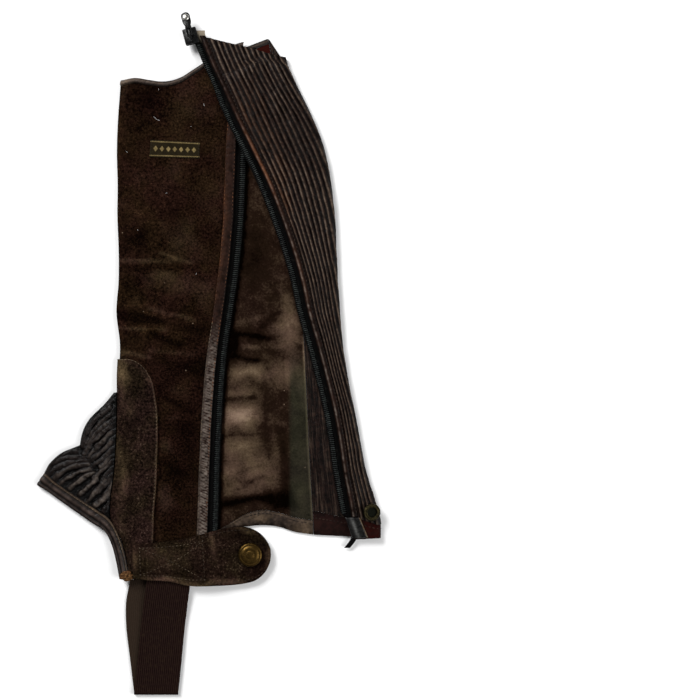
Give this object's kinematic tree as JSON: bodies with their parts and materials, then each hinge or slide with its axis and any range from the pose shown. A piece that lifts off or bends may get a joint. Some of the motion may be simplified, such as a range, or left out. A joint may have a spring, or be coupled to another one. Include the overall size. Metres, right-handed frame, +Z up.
{
  "type": "half chap",
  "caption": "Suede half chap for the left leg, opened down its zip and laid flat, with gathered stretch panel, snap tab and stirrup elastic.",
  "frame": {"origin": "on the surface it lies on, under the middle of its outline", "axes": "+Z up off the surface, out of the front face; +Y from the foot to the knee; +X from the shin fold to the calf"},
  "size_m": [0.2589, 0.5117, 0.014],
  "materials": {
    "suede": "brushed dark brown suede with a worn nap",
    "gathered_leather": "thin dark brown leather gathered on elastic, satin",
    "binding_leather": "soft dark brown leather, satin to glossy",
    "red_leather": "red-brown leather, satin",
    "zip_tape": "black woven tape with a nylon coil",
    "elastic": "ribbed black-brown elastic webbing",
    "label_cloth": "dark olive-brown damask weave with tan borders",
    "antique_brass": "antiqued, brushed",
    "black_metal": "black enamel, semi-gloss",
    "nickel": "polished nickel"
  },
  "bodies": {
    "chap": {"calf_socket": "antique_brass", "foot_binding": "binding_leather", "hem_binding_back": "binding_leather", "instep_gusset": "gathered_leather", "label": "label_cloth", "main_panel": "suede", "ribbed_hem": "red_leather", "ribbed_panel": "gathered_leather", "shin_patch": "suede", "snap_cap": "antique_brass", "snap_tab": "suede", "stirrup_strap": "elastic", "tab_socket": "antique_brass", "top_binding": "binding_leather", "zip_end_patch": "binding_leather", "zip_facing_front": "binding_leather", "zip_slider": "black_metal", "zip_tape_back": "zip_tape", "zip_tape_front": "zip_tape", "zip_welt_back": "binding_leather"},
    "zip_pull": {"zip_pull": "black_metal", "pull_rivet": "nickel"}
  },
  "joints": [
    {"name": "pull_swing", "type": "hinge", "parent": "chap", "child": "zip_pull", "pos_m": [-0.01189, 0.2385, 0.0115], "axis": [0.9674, 0.2534, 0], "range_deg": [0, 165]}
  ]
}
